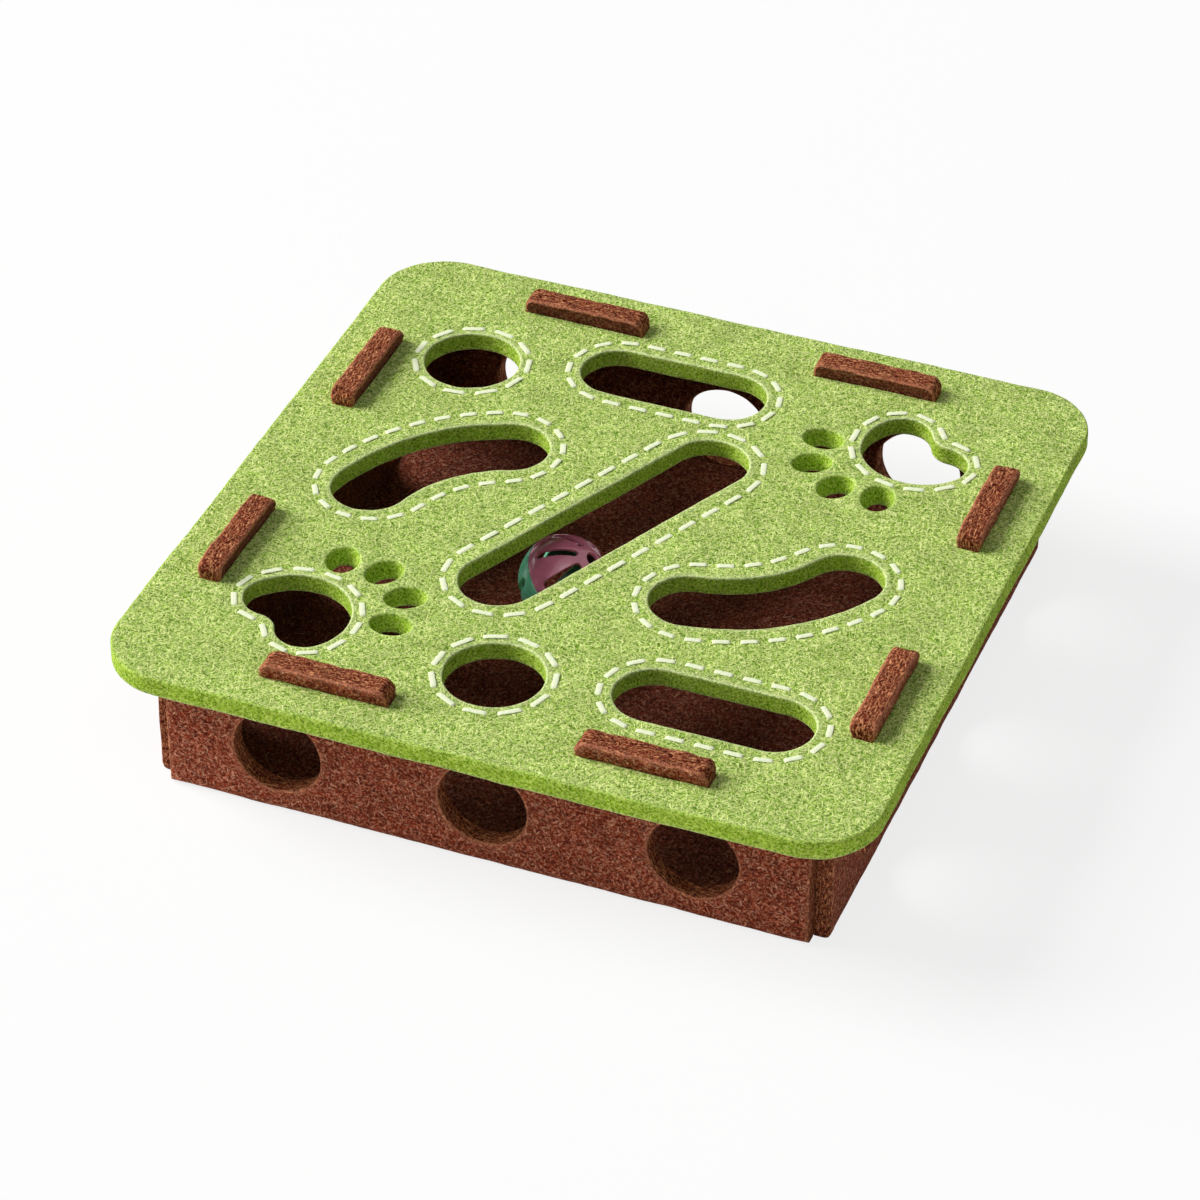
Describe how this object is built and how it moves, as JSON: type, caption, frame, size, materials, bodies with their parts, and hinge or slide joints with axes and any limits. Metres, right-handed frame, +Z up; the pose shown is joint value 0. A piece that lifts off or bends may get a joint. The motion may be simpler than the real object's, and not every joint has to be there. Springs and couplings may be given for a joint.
{
  "type": "cat felt maze box",
  "caption": "Low square felt box with wall holes and a tabbed lid of stitched cut-outs, in which a cat paws at a lattice ball that holds a jingle bell.",
  "frame": {"origin": "on the floor, under the middle of the box", "axes": "+Z up through the lid, +X to the right along the front wall, +Y from the front to the rear wall"},
  "size_m": [0.3, 0.3, 0.0685],
  "materials": {
    "green_felt": "matt pressed felt",
    "brown_felt": "matt pressed felt",
    "cream_thread": "thick soft thread",
    "pink_plastic": "moulded gloss",
    "green_plastic": "moulded gloss",
    "bell_brass": "bright pressed sheet",
    "pellet_steel": "plain"
  },
  "bodies": {
    "box": {"base_panel": "brown_felt", "front_wall": "brown_felt", "right_wall": "brown_felt", "rear_wall": "brown_felt", "left_wall": "brown_felt"},
    "lid": {"lid_panel": "green_felt", "rear_round_stitching": "cream_thread", "front_round_stitching": "cream_thread", "rear_slot_stitching": "cream_thread", "front_slot_stitching": "cream_thread", "diagonal_slot_stitching": "cream_thread", "left_curve_stitching": "cream_thread", "right_curve_stitching": "cream_thread", "front_paw_stitching": "cream_thread", "rear_paw_stitching": "cream_thread"},
    "bell": {"bell_upper_cup": "bell_brass", "bell_lower_cup": "bell_brass"},
    "ball_shell": {"ball_pink_shell": "pink_plastic", "ball_green_shell": "green_plastic"},
    "pellet": {"bell_pellet": "pellet_steel"}
  },
  "joints": [
    {"name": "lid_lift", "type": "slide", "parent": "box", "child": "lid", "axis": [0, 0, 1], "range_m": [0, 0.06]},
    {"name": "ball_roll", "type": "slide", "parent": "box", "child": "bell", "axis": [0.4226, 0.9063, 0], "range_m": [-0.12, 0.105]},
    {"name": "shell_spin", "type": "hinge", "parent": "bell", "child": "ball_shell", "pos_m": [-0.023, 0.006, 0.0263], "axis": [-0.9063, 0.4226, 0], "range_deg": [-385, 337]},
    {"name": "pellet_rattle", "type": "slide", "parent": "bell", "child": "pellet", "axis": [0, 0, 1], "range_m": [0, 0.0075]}
  ],
  "couplings": [
    {"joint": "shell_spin", "follows": "ball_roll", "rad_per_m": 55.556}
  ]
}
